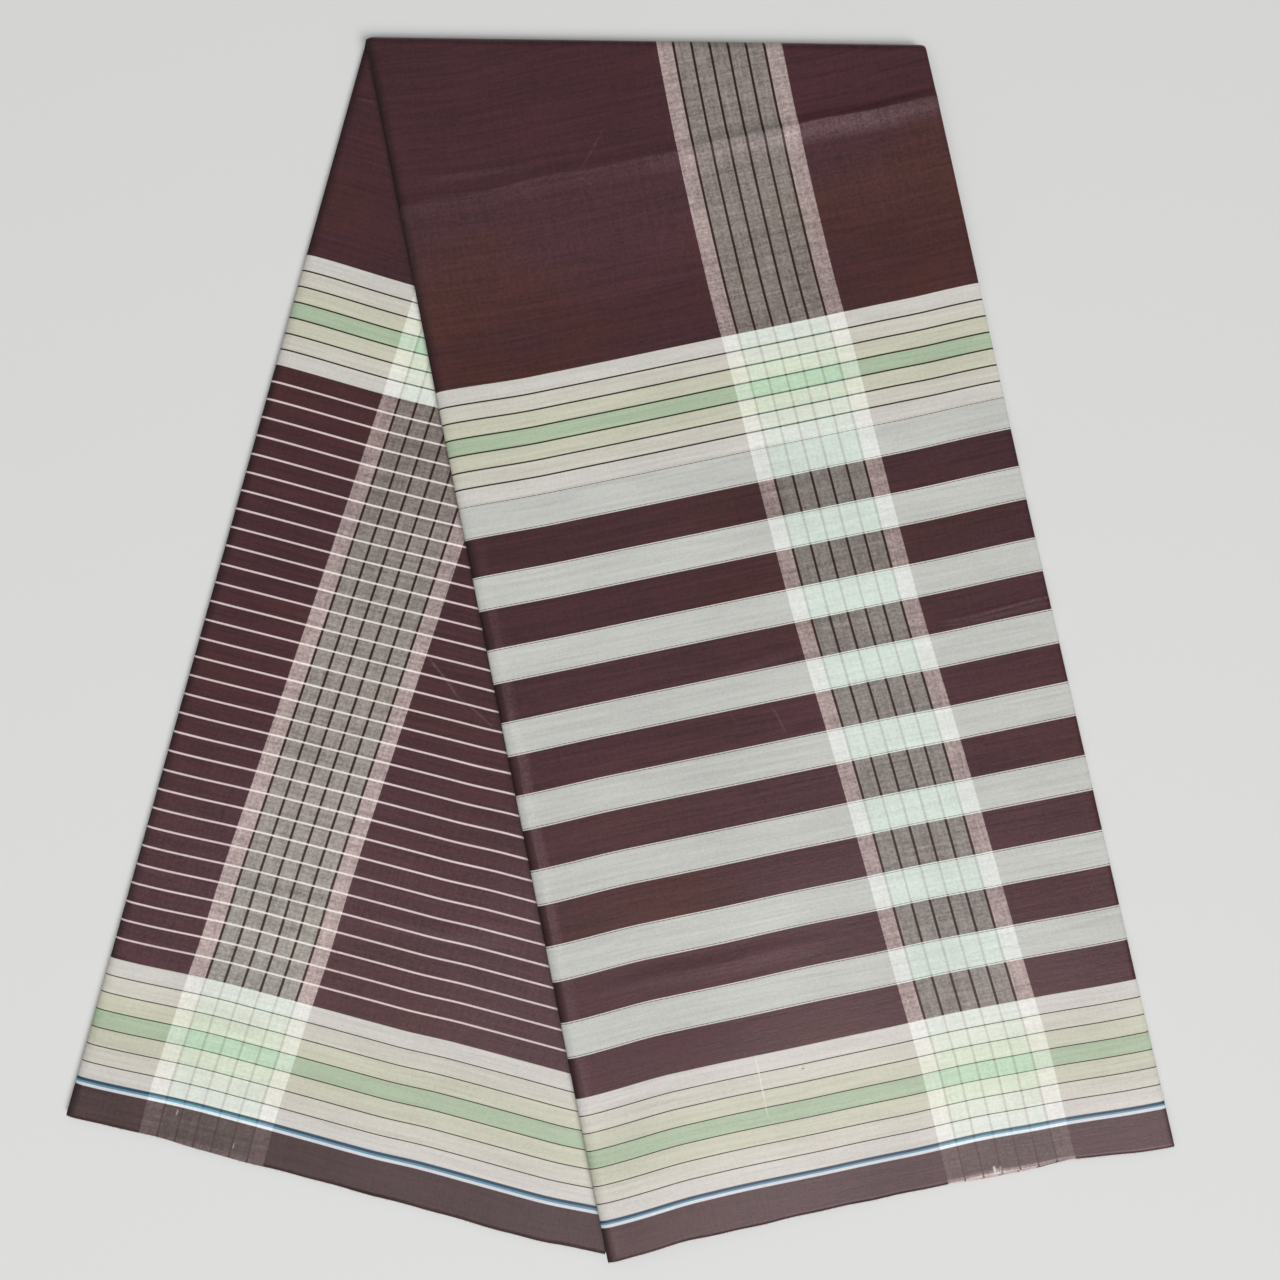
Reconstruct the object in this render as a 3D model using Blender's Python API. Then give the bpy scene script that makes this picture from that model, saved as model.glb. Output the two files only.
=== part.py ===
"""A longyi, the cotton tube sarong of Myanmar, pressed flat and folded as it is shown for sale.

The cloth is 1.2 m from selvedge to selvedge. Three halvings turn the tube into a strip eight
layers thick, which is folded once more, across and a little aslant. Its two leaves fan out
from that top fold, the front leaf lying over the back one.

Metres, +Z up, at rest on z = 0. A point of the strip is given by three numbers:
    across   from the closed long edge, where all eight layers turn, to the open one
    along    down a leaf, from the corner between the closed edge and the top fold
    height   above the leaf's inner face, which is turned to the other leaf
"""

import collections
import math

import bmesh
import bpy
from mathutils import Vector

# The folded cloth: its width from selvedge to selvedge, the strip, and its two leaves. A lean is
# measured from straight down
CLOTH_WIDTH = 1.200
STRIP_WIDTH = 0.283
FRONT_LENGTH = 0.631
BACK_LENGTH = CLOTH_WIDTH - FRONT_LENGTH
FRONT_LEAN = math.radians(11.65)
BACK_LEAN = math.radians(-14.5)
LEAF_THICKNESS = 0.0044

# How it is made solid: an outer wall of cloth round the hidden layers
WALL = 0.001
GAP = 0.0003
OPEN_EDGE_RADIUS = 0.0012
LIP_REACH = 0.0015
COLUMNS = 12
SLOPING_ROW_SPACING = 0.026
FLAT_ROW_SPACING = 0.104
ARC_STEPS = 6
LIP_STEPS = 2
ROLL_STEPS = 8

# Where the front leaf slopes down to the floor beside the back one
SLOPE_START = 0.008
SLOPE_WIDTH = 0.110

# The open edge of the back leaf draws in towards its hem
BACK_DRAW_IN = 0.006
DRAWN_IN_WIDTH = 0.060

# The hidden layers end in two steps at each hem, and in one fold's nose at the open edge
HEM_STEP = 0.0016
HEM_INSET = 0.96
NOSE_INSET = 0.0006

# Reddish brown, in linear light
FRONT_BROWN = (0.072, 0.030, 0.034)
BACK_BROWN = (0.080, 0.032, 0.035)
HIDDEN_BROWN = (0.060, 0.027, 0.030)

FOLD_SLANT = (FRONT_LEAN - BACK_LEAN) / 2
FOLD_RADIUS = LEAF_THICKNESS + GAP / 2
EDGE_RADIUS = LEAF_THICKNESS / 2
CORE_BOTTOM = WALL + GAP
CORE_TOP = LEAF_THICKNESS - WALL - GAP

# A pressed crease: its distance from the hem at both long edges, its height, its half width,
# and the stretch across the strip where it shows
Crease = collections.namedtuple("Crease", "closed_end open_end height half_width first last")
CREASE_FADE = 0.020
FRONT_CREASES = [
    Crease(0.538, 0.538, 0.0006, 0.005, 0.008, 0.275),
    Crease(0.273, 0.273, 0.0006, 0.005, 0.200, 0.275),
]
BACK_CREASES = [
    Crease(0.124, 0.142, 0.0006, 0.006, 0.008, 0.200),
]

# Where a hem reaches lower than its straight line, at the closed and at the open edge
HemDip = collections.namedtuple("HemDip", "closed closed_reach open open_reach")
FRONT_HEM = HemDip(0.0025, 0.045, 0.004, 0.060)
BACK_HEM = HemDip(0.002, 0.060, 0.0, 0.060)

# A stretch of hem where lower layers stick out from under the top one
HemLobe = collections.namedtuple("HemLobe", "middle half_width reach")
FRONT_LOBE = HemLobe(0.197, 0.050, 0.0036)
BACK_LOBE = HemLobe(0.085, 0.060, 0.0024)


def smooth(share):
    """0 to 1, with a soft start and end."""
    share = min(max(share, 0.0), 1.0)
    return share * share * (3 - 2 * share)


def bump(distance, half_width):
    """1 in the middle of a ridge, 0 from its half width on."""
    return 1 - smooth(abs(distance) / half_width)


def blend(first, second, share):
    return first + (second - first) * share


class Leaf:
    """One half of the folded strip, as directions on the floor and distances along them."""

    def __init__(self, lean, length, creases, hem, lobe, is_front):
        self.down = Vector((math.sin(lean), -math.cos(lean)))
        self.across = Vector((math.cos(lean), math.sin(lean)))
        self.length = length
        self.creases = creases
        self.hem_dip = hem
        self.lobe = lobe
        self.is_front = is_front

    def start(self, across, clearance=0.0):
        """Where the leaf leaves the roll of the top fold."""
        side = 1 if self.is_front else -1
        rise = side * across * math.sin(FOLD_SLANT)
        return (FOLD_RADIUS + clearance + rise) / math.cos(FOLD_SLANT)

    def hem(self, across, past=0.0):
        """Where the leaf ends, or a distance past that."""
        dip = self.hem_dip
        closed = dip.closed * (1 - smooth(across / dip.closed_reach))
        opened = dip.open * (1 - smooth((STRIP_WIDTH - across) / dip.open_reach))
        return self.length + closed + opened + past

    def lobe_end(self, across):
        """Where the hidden layers end, some of them past the top one."""
        reach = self.lobe.reach * bump(across - self.lobe.middle, self.lobe.half_width)
        return self.hem(across, reach - HEM_STEP / 2)

    def crease_line(self, crease, across, offset):
        """The place along the leaf of a line beside a crease."""
        from_hem = blend(crease.closed_end, crease.open_end, across / STRIP_WIDTH)
        return self.length - from_hem + offset

    def lift(self, across, along):
        """How far the creases raise the visible layer."""
        raised = 0.0
        for crease in self.creases:
            middle = self.crease_line(crease, across, 0.0)
            start = smooth((across - crease.first) / CREASE_FADE)
            end = smooth((crease.last - across) / CREASE_FADE)
            raised += crease.height * start * end * bump(along - middle, crease.half_width)
        return raised

    def draw_in(self, across, along):
        """How far the layers lie further in than their place on a straight strip."""
        if self.is_front:
            return 0.0
        near_open = smooth(1 - (STRIP_WIDTH - across) / DRAWN_IN_WIDTH)
        return BACK_DRAW_IN * near_open * smooth(along / self.length)

    def place(self, across, along, height):
        """The point in space of a point of this leaf."""
        flat = self.across * (across - self.draw_in(across, along)) + self.down * along
        if self.is_front:
            lift = self.lift(across, along) if height > EDGE_RADIUS else 0.0
            return Vector((flat.x, flat.y, rest_height(flat) + height + lift))
        lift = self.lift(across, along) if height < EDGE_RADIUS else 0.0
        return Vector((flat.x, flat.y, LEAF_THICKNESS - height + lift))

    def rows(self, clearance=0.0):
        """Functions of across that give along, from the hem up to the top fold."""
        guides = [lambda across: self.hem(across)]
        for crease in sorted(self.creases, key=lambda crease: crease.closed_end):
            for share in (1, 0, -1):
                offset = share * crease.half_width
                guides.append(lambda a, c=crease, o=offset: self.crease_line(c, a, o))
        guides.append(lambda across: self.start(across, clearance))
        spacing = SLOPING_ROW_SPACING if self.is_front else FLAT_ROW_SPACING
        rows = []
        for lower, upper in zip(guides, guides[1:]):
            count = math.ceil((lower(0.0) - upper(0.0)) / spacing)
            for step in range(count):
                share = step / count
                rows.append(lambda a, lo=lower, up=upper, s=share: blend(lo(a), up(a), s))
        return rows + guides[-1:]


FRONT = Leaf(FRONT_LEAN, FRONT_LENGTH, FRONT_CREASES, FRONT_HEM, FRONT_LOBE, is_front=True)
BACK = Leaf(BACK_LEAN, BACK_LENGTH, BACK_CREASES, BACK_HEM, BACK_LOBE, is_front=False)
FOLD_DOWN = (FRONT.down + BACK.down).normalized()
FOLD_ALONG = Vector((-FOLD_DOWN.y, FOLD_DOWN.x))


def rest_height(flat):
    """What the front leaf lies on: the back leaf, and beside it the floor."""
    beside = flat.dot(BACK.across) - STRIP_WIDTH
    share = smooth((beside - SLOPE_START) / SLOPE_WIDTH)
    return (LEAF_THICKNESS + GAP) * (1 - share)


def place_on_roll(across, height, turn):
    """A point of the strip where it turns over the top fold; turn goes from 0 to pi."""
    radius = height + GAP / 2
    drift = FOLD_RADIUS * math.tan(FOLD_SLANT) * (1 - 2 * turn / math.pi)
    level = FOLD_ALONG * (across / math.cos(FOLD_SLANT) + drift)
    flat = level + FOLD_DOWN * (FOLD_RADIUS - radius * math.sin(turn))
    return Vector((flat.x, flat.y, FOLD_RADIUS + radius * math.cos(turn)))


def leaf_stations(leaf, clearance=0.0):
    """One function for each row of a leaf, from (across, height) to a point in space."""
    return [
        lambda across, height, row=row: leaf.place(across, row(across), height)
        for row in leaf.rows(clearance)
    ]


def roll_stations():
    """The same for the rows that turn over the top fold."""
    return [
        lambda across, height, turn=math.pi * step / ROLL_STEPS: place_on_roll(across, height, turn)
        for step in range(1, ROLL_STEPS + 1)
    ]


def landing_station(across, height):
    """The row just past the roll, where the front sheet ends flat against the back one."""
    return BACK.place(across, BACK.start(across, WALL), height)


def arc(middle, radius, first_turn, last_turn, steps):
    """Points of an arc in (across, height), its ends included."""
    turns = [math.radians(blend(first_turn, last_turn, step / steps)) for step in range(steps + 1)]
    return [(middle[0] + radius * math.cos(t), middle[1] + radius * math.sin(t)) for t in turns]


def columns():
    """The stations across the strip that every piece shares, between its rounded edges."""
    first, last = EDGE_RADIUS, STRIP_WIDTH - OPEN_EDGE_RADIUS
    return [blend(first, last, step / COLUMNS) for step in range(1, COLUMNS)]


def mirrored(path):
    """The path turned over, from one face of the leaf to the other."""
    return [(across, LEAF_THICKNESS - height) for across, height in path]


def sheet_path(inset):
    """Out of the open edge's lip, along the inner face, round the closed edge and back again."""
    open_edge = STRIP_WIDTH - OPEN_EDGE_RADIUS
    lip = [(STRIP_WIDTH - inset, LIP_REACH)]
    lip += arc((open_edge, OPEN_EDGE_RADIUS), OPEN_EDGE_RADIUS - inset, 0, -90, LIP_STEPS)
    inner_face = lip + [(across, inset) for across in reversed(columns())]
    closed_edge = arc((EDGE_RADIUS, EDGE_RADIUS), EDGE_RADIUS - inset, 270, 90, ARC_STEPS)
    return inner_face + closed_edge + mirrored(inner_face)[::-1]


def sheet_section():
    """The outer layers as one wall of cloth, open towards the open edge."""
    return sheet_path(0.0) + sheet_path(WALL)[::-1]


def core_section():
    """The hidden layers, rounded at the closed edge and with one fold's nose at the open one."""
    inside = STRIP_WIDTH - WALL - GAP
    corner = CORE_BOTTOM + GAP
    nose = LIP_REACH + GAP
    lower = [(STRIP_WIDTH - NOSE_INSET, nose), (inside, nose), (inside, corner)]
    lower += [(inside - GAP, CORE_BOTTOM)]
    lower += [(across, CORE_BOTTOM) for across in reversed(columns())]
    closed_edge = arc((EDGE_RADIUS, EDGE_RADIUS), EDGE_RADIUS - CORE_BOTTOM, 270, 90, ARC_STEPS)
    return lower + closed_edge + mirrored(lower)[::-1]


def half_core_section(kept_height):
    """The half of the hidden layers next to kept_height, drawn in from both long edges."""
    middle = STRIP_WIDTH / 2
    return [
        (blend(middle, across, HEM_INSET), blend(kept_height, height, 0.5))
        for across, height in core_section()
    ]


def add_loft(name, rings, is_wall, material, parent):
    """One closed body through rings of points.

    Every layer is cut into triangles along the same diagonal, so that layers stay parallel. A
    wall's ring comes back along its inside, so there the diagonal is turned to match.
    """
    work = bmesh.new()
    rings = [[work.verts.new(point) for point in ring] for ring in rings]
    count = len(rings[0])
    for ring, following in zip(rings, rings[1:]):
        for k in range(count):
            n = (k + 1) % count
            if is_wall and k >= count // 2:
                work.faces.new((ring[k], ring[n], following[k]))
                work.faces.new((ring[n], following[n], following[k]))
            else:
                work.faces.new((ring[k], ring[n], following[n]))
                work.faces.new((ring[k], following[n], following[k]))
    # Each end is closed by joining the first half of its ring to the second.
    for k in range((count - 1) // 2):
        for ring, turned in ((rings[0], 1), (rings[-1], -1)):
            corners = (ring[k], ring[count - 1 - k], ring[count - 2 - k], ring[k + 1])
            work.faces.new(list(dict.fromkeys(corners))[::turned])
    mesh = bpy.data.meshes.new(name)
    work.to_mesh(mesh)
    work.free()
    mesh.materials.append(material)
    mesh.shade_smooth()
    mesh.set_sharp_from_angle(angle=math.radians(40))
    obj = bpy.data.objects.new(name, mesh)
    obj.parent = parent
    parent.users_collection[0].objects.link(obj)


def make_sheet(name, stations, material, parent):
    """A stretch of the outer layers."""
    section = sheet_section()
    rings = [[station(*point) for point in section] for station in stations]
    add_loft(name, rings, True, material, parent)


def make_hidden_layers(name, material, parent):
    """Every layer that doesn't show, as one solid that turns over the top fold with the sheets."""
    section = core_section()
    front_half = half_core_section(CORE_BOTTOM + GAP)
    back_half = half_core_section(CORE_TOP - GAP)
    front_rows = leaf_stations(FRONT)
    back_rows = leaf_stations(BACK)[::-1]

    def ring(path, leaf, along):
        return [leaf.place(across, along(across), height) for across, height in path]

    step = HEM_STEP
    rings = [
        ring(front_half, FRONT, FRONT.lobe_end),
        ring(front_half, FRONT, lambda across: FRONT.hem(across, -step)),
        ring(section, FRONT, lambda across: FRONT.hem(across, -step - GAP)),
    ]
    for station in front_rows[1:] + roll_stations() + back_rows[1:-1]:
        rings.append([station(*point) for point in section])
    rings += [
        ring(section, BACK, lambda across: BACK.hem(across, -step - GAP)),
        ring(back_half, BACK, lambda across: BACK.hem(across, -step)),
        ring(back_half, BACK, BACK.lobe_end),
    ]
    add_loft(name, rings, False, material, parent)


def cotton(name, colour):
    """Plain-woven cotton, dyed in the yarn and matt."""
    material = bpy.data.materials.new(name)
    material.use_nodes = True
    surface = material.node_tree.nodes["Principled BSDF"]
    surface.inputs["Base Color"].default_value = (*colour, 1.0)
    surface.inputs["Roughness"].default_value = 0.8
    surface.inputs["Metallic"].default_value = 0.0
    material.diffuse_color = (*colour, 1.0)
    return material


def footprint_middle():
    """The middle of the floor that the folded cloth covers."""
    stations = leaf_stations(FRONT) + roll_stations() + leaf_stations(BACK)
    points = [station(*point) for station in stations for point in sheet_section()]
    xs = [point.x for point in points]
    ys = [point.y for point in points]
    return Vector(((min(xs) + max(xs)) / 2, (min(ys) + max(ys)) / 2, 0.0))


def main():
    for obj in list(bpy.data.objects):
        bpy.data.objects.remove(obj)
    collection = bpy.data.collections.new("longyi")
    bpy.context.scene.collection.children.link(collection)
    origin = bpy.data.objects.new("longyi_corner", None)
    collection.objects.link(origin)
    origin.location = -footprint_middle()

    front_stations = leaf_stations(FRONT) + roll_stations() + [landing_station]
    back_stations = leaf_stations(BACK, clearance=WALL + GAP)[::-1]
    make_sheet("front_leaf_cloth", front_stations, cotton("front_cotton", FRONT_BROWN), origin)
    make_sheet("back_leaf_cloth", back_stations, cotton("back_cotton", BACK_BROWN), origin)
    make_hidden_layers("hidden_layers", cotton("hidden_cotton", HIDDEN_BROWN), origin)


main()
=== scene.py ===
"""A longyi, the cotton tube sarong of Myanmar, pressed, folded into a strip and laid out flat.

The strip is eight layers of one woven tube. It is turned over once at the top, and its two
leaves fan out from there, the front one lying over the back one. Metres, +Z up.

A point of the cloth is given by where it lies in the strip:
    across   from the closed long edge, where all the layers turn, to the open one
    along    down a leaf, from the corner between the closed edge and the top fold
    height   above the leaf's inner face, which is turned to the other leaf
and its place in the weave by two more:
    girth    round the tube, from the closed edge
    weft     down the tube, from the hem
"""

import math

import bpy
import numpy as np
from mathutils import Matrix, Vector


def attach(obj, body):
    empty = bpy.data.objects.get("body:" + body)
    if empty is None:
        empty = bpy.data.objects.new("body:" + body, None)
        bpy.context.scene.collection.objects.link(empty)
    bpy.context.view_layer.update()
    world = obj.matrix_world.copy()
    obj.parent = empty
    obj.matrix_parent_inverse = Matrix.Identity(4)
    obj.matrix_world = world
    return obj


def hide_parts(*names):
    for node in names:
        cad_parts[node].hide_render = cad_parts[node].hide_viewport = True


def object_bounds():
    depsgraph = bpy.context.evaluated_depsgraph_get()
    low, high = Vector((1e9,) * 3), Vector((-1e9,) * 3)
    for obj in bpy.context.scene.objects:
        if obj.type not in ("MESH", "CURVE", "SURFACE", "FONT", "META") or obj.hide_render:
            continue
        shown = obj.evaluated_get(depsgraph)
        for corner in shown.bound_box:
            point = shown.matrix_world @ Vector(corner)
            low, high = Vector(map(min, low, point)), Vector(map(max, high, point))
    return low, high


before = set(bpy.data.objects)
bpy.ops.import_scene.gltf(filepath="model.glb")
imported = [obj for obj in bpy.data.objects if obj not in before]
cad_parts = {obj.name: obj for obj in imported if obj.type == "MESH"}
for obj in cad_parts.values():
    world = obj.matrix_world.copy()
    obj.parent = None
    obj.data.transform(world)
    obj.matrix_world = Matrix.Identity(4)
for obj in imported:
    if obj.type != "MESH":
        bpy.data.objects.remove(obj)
cad_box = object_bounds()


# ---- The front leaf ----------------------------------------------------------------------
# The outermost layers of the strip from the front hem up and over the top fold: one stretch of
# plain-woven cotton, dyed in the yarn. It is cut straight from the loom and isn't sewn here; the
# iron holds its folds. The layers that it encloses are pieces of their own, further down.

STRIP_WIDTH = 0.283
FRONT_LENGTH = 0.631
BACK_LENGTH = 0.569
FRONT_LEAN = math.radians(11.65)
BACK_LEAN = math.radians(-14.5)

LAYERS = 8
LAYER_PITCH = 0.00055
CLOTH_THICKNESS = 0.0003
LEAF_THICKNESS = LAYERS * LAYER_PITCH
LEAF_GAP = 0.0003
FOLD_SLANT = (FRONT_LEAN - BACK_LEAN) / 2
FOLD_RADIUS = LEAF_THICKNESS + LEAF_GAP / 2
LANDING = 0.001

SLOPE_START = 0.008
SLOPE_WIDTH = 0.110
BACK_DRAW_IN = 0.006
DRAWN_IN_WIDTH = 0.060

# Where the iron left the folds: how far a fold's taper reaches in, and by how much each fold
# inside it falls short of it
CLOSED_TAPER = 0.0050
OPEN_TAPER = 0.0030
FOLD_STAGGER = 0.00045

FINE_COLUMN = 0.0030
COARSE_COLUMN = 0.0100
FRONT_ROW = 0.0020
TURN_STEPS = 6
ROLL_STEPS = 12

# How much further the hems reach at their corners, and how far the back one is drawn up at the
# open edge. Small waves run along both; these and the swells die out near the edges.
FRONT_HEM_DROP = 0.004
FRONT_CLOSED_DROP = 0.0025
BACK_CLOSED_DROP = 0.0020
BACK_UPTURN = 0.0024
HEM_WOBBLE = 0.00012
EDGE_FADE = 0.030

front_reach = STRIP_WIDTH * math.cos(FRONT_LEAN)
front_reach += (FRONT_LENGTH + FRONT_HEM_DROP) * math.sin(FRONT_LEAN)
CORNER = np.array([cad_box[1].x - front_reach, cad_box[1].y])


def smooth(share):
    """0 to 1, with a soft start and end."""
    share = np.clip(share, 0.0, 1.0)
    return share * share * (3 - 2 * share)


def rise(place, start, reach):
    """0 before the start and 1 past the reach."""
    return smooth((place - start) / reach)


def bump(distance, half_width):
    """1 in the middle and 0 past the half width."""
    return 1 - smooth(np.abs(distance) / half_width)


def ripple(place, wavelength, phase):
    return np.sin(2 * math.pi * place / wavelength + phase)


def layer_height(layer):
    """The middle of a layer; layer 1 is the strip's outer face, and layer 8 its inner one."""
    return LEAF_THICKNESS - (layer - 0.5) * LAYER_PITCH


class Leaf:
    """One half of the folded strip."""

    def __init__(self, lean, length):
        self.slant = math.copysign(FOLD_SLANT, lean)
        self.down = np.array([math.sin(lean), -math.cos(lean)])
        self.across = np.array([math.cos(lean), math.sin(lean)])
        self.length = length

    def flat(self, across, along):
        """Points on the floor."""
        return CORNER + across[..., None] * self.across + along[..., None] * self.down

    def start(self, across, clearance=0.0):
        """Where the leaf leaves the roll of the top fold."""
        return (FOLD_RADIUS + clearance + across * math.sin(self.slant)) / math.cos(self.slant)

    def spread(self, across, weft):
        """How far the weave is spread out beside the pale band's middle."""
        return np.zeros(np.broadcast_shapes(across.shape, np.shape(weft)))

    def hem_wobble(self, across):
        """Small waves along the hem, which die out at the open edge."""
        waves = sum(ripple(across, wavelength, phase) for wavelength, phase in self.hem_waves)
        return HEM_WOBBLE * waves * smooth((STRIP_WIDTH - across) / EDGE_FADE)

    def puff(self, across, flat):
        """Low swells, where air lies between the layers. They die out at the closed edge."""
        height = 0.0
        for size, run_x, run_y, wavelength, phase in self.swells:
            run = run_x * flat[..., 0] + run_y * flat[..., 1]
            height = height + size * (1 + ripple(run, wavelength, phase))
        return height * smooth(across / EDGE_FADE)

    def crease_lift(self, across, along):
        """How far the creases raise the cloth."""
        lift = np.zeros_like(across)
        for crease in self.creases:
            run_across, run_weft = crease.run()
            out_across, out_weft = across - crease.across, self.length - along - crease.weft
            along_crease = out_across * run_across + out_weft * run_weft
            beside = out_weft * run_across - out_across * run_weft
            beside = beside + CREASE_WANDER * np.sin(along_crease * CREASE_WAVES)
            ends = smooth(along_crease / crease.fade)
            ends = ends * smooth((crease.size - along_crease) / crease.fade)
            flank = np.where(beside > 0, crease.dull_flank, crease.bright_flank)
            lift += crease.height * ends * bump(beside, flank)
        return lift


class Front(Leaf):
    # Each wave's length and phase
    hem_waves = [(0.063, 1.0), (0.027, 2.0)]
    # Each swell's height, run along x and y, wavelength and phase
    swells = [(0.00025, 1.0, 0.6, 0.11, 0.5), (0.00015, -0.3, 1.0, 0.07, 2.1)]

    def hem(self, across):
        closed = FRONT_CLOSED_DROP * (1 - smooth(across / 0.045))
        opened = FRONT_HEM_DROP * (1 - smooth((STRIP_WIDTH - across) / 0.060))
        return self.length + closed + opened + self.hem_wobble(across)

    def place(self, across, along, height):
        flat = self.flat(across, along)
        beside = (flat - CORNER) @ back_leaf.across - STRIP_WIDTH
        rest = (LEAF_THICKNESS + LEAF_GAP) * (1 - smooth((beside - SLOPE_START) / SLOPE_WIDTH))
        share = height / LEAF_THICKNESS
        puff = self.puff(across, flat) * smooth((STRIP_WIDTH - across) / EDGE_FADE)
        lift = (self.crease_lift(across, along) + puff) * share ** 2
        return np.concatenate([flat, (rest + height + lift)[..., None]], axis=-1)

    def bow(self, across, weft):
        """How far the woven stripes stand from straight lines, up the leaf: near the two edges,
        all along, and where the cloth was pulled out of line."""
        closed = 0.0145 * np.maximum(weft - 0.09, 0) - 0.0028
        opened = 0.0095 * weft - 0.0021
        middle = 0.0005 + 0.0009 * bump(weft - 0.215, 0.110) - 0.0016 * rise(weft, 0.23, 0.21)
        middle += 0.0005 * bump(weft - 0.330, 0.045)
        swell = 0.0009 * bump(across - 0.190, 0.035) * (1 - smooth(weft / 0.15))
        swell += 0.0008 * bump(across - 0.072, 0.048) * (1 - rise(weft, 0.05, 0.09))
        swell += 0.0006 * bump(across - 0.125, 0.045) * bump(weft - 0.135, 0.075)
        lower = rise(weft, 0.08, 0.05) * (1 - rise(weft, 0.24, 0.04))
        swell -= 0.0005 * rise(across, 0.185, 0.04) * lower
        swell -= 0.0008 * rise(across, 0.225, 0.03) * rise(weft, 0.37, 0.02)
        closed *= 1 - smooth(across / 0.050)
        opened *= 1 - smooth((STRIP_WIDTH - across) / 0.060)
        return closed + opened + middle + swell

    def band(self, weft):
        """The girth at which the band of pale weft starts."""
        h = weft * 10
        wander = 0.0009 * bump(weft - 0.058, 0.052) - 0.0010 * bump(weft - 0.285, 0.090)
        wander += 0.0007 * bump(weft - 0.410, 0.050)
        return 0.1707 - 0.002775 * h - 0.001558 * h**2 + 0.00023 * h**3 + wander


class Back(Leaf):
    hem_waves = [(0.071, 0.3), (0.031, 1.2)]
    swells = [(0.00020, 1.0, -0.5, 0.09, 1.5)]

    def spread(self, across, weft):
        return 0.013 * (across - 0.082) * (1 - rise(weft, 0.11, 0.07))

    def upturn(self, across):
        """How far the cloth is drawn up towards the open edge."""
        return BACK_UPTURN * rise(across, 0.238, 0.055)

    def hem(self, across):
        closed = BACK_CLOSED_DROP * (1 - smooth(across / 0.060))
        return self.length + closed + self.hem_wobble(across) - self.upturn(across)

    def place(self, across, along, height):
        near_open = smooth(1 - (STRIP_WIDTH - across) / DRAWN_IN_WIDTH)
        drawn = across - BACK_DRAW_IN * near_open * smooth(along / self.length)
        flat = self.flat(drawn, along)
        share = 1 - height / LEAF_THICKNESS
        lift = (self.crease_lift(across, along) + self.puff(across, flat)) * share ** 2
        return np.concatenate([flat, (LEAF_THICKNESS - height + lift)[..., None]], axis=-1)

    def bow(self, across, weft):
        closed = 0.016 * np.maximum(weft - 0.100, 0) - 0.0028
        middle = 0.0008 - 0.0007 * rise(weft, 0.08, 0.06) + 0.0004 * bump(weft - 0.21, 0.05)
        middle -= 0.0023 * (np.maximum(weft - 0.26, 0) / 0.19) ** 2
        middle += 0.0010 * bump(weft - 0.070, 0.045) + 0.0004 * bump(weft - 0.365, 0.030)
        swell = 0.00085 * rise(across, 0.15, 0.03)
        swell += 0.0004 * rise(across, 0.10, 0.05) * rise(weft, 0.18, 0.05)
        swell -= 0.0005 * (1 - rise(across, 0.06, 0.06)) * rise(weft, 0.11, 0.05)
        return closed * (1 - smooth(across / 0.070)) + middle + swell + self.upturn(across)

    def band(self, weft):
        h = weft * 10
        wander = 0.0007 * bump(weft - 0.025, 0.035) - 0.0007 * bump(weft - 0.105, 0.045)
        return 0.1709 - 0.001776 * h - 0.001815 * h**2 + 0.000253 * h**3 + wander


front_leaf = Front(FRONT_LEAN, FRONT_LENGTH)
back_leaf = Back(BACK_LEAN, BACK_LENGTH)
fold_down = (front_leaf.down + back_leaf.down) / np.hypot(*(front_leaf.down + back_leaf.down))
fold_along = np.array([-fold_down[1], fold_down[0]])


# Creases aren't quite straight: how far they wander, and how fast, in radians a metre
CREASE_WANDER = 0.0005
CREASE_WAVES = 110.0
CREASE_EDGE = 0.0006


class Crease:
    """A pressed ridge between two points of a leaf, each an across and a weft. Going along it,
    the flank on the right gets a painted sheen and the one on the left a painted shade."""

    def __init__(self, start, end, height, flanks, fade, bright, painted_dark):
        self.across, self.weft = start
        self.to_across, self.to_weft = end
        self.size = math.dist(start, end)
        self.height = height
        self.bright_flank, self.dull_flank = flanks
        self.fade = fade
        self.bright, self.painted_dark = bright, painted_dark

    def run(self):
        return (self.to_across - self.across) / self.size, (self.to_weft - self.weft) / self.size


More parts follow.
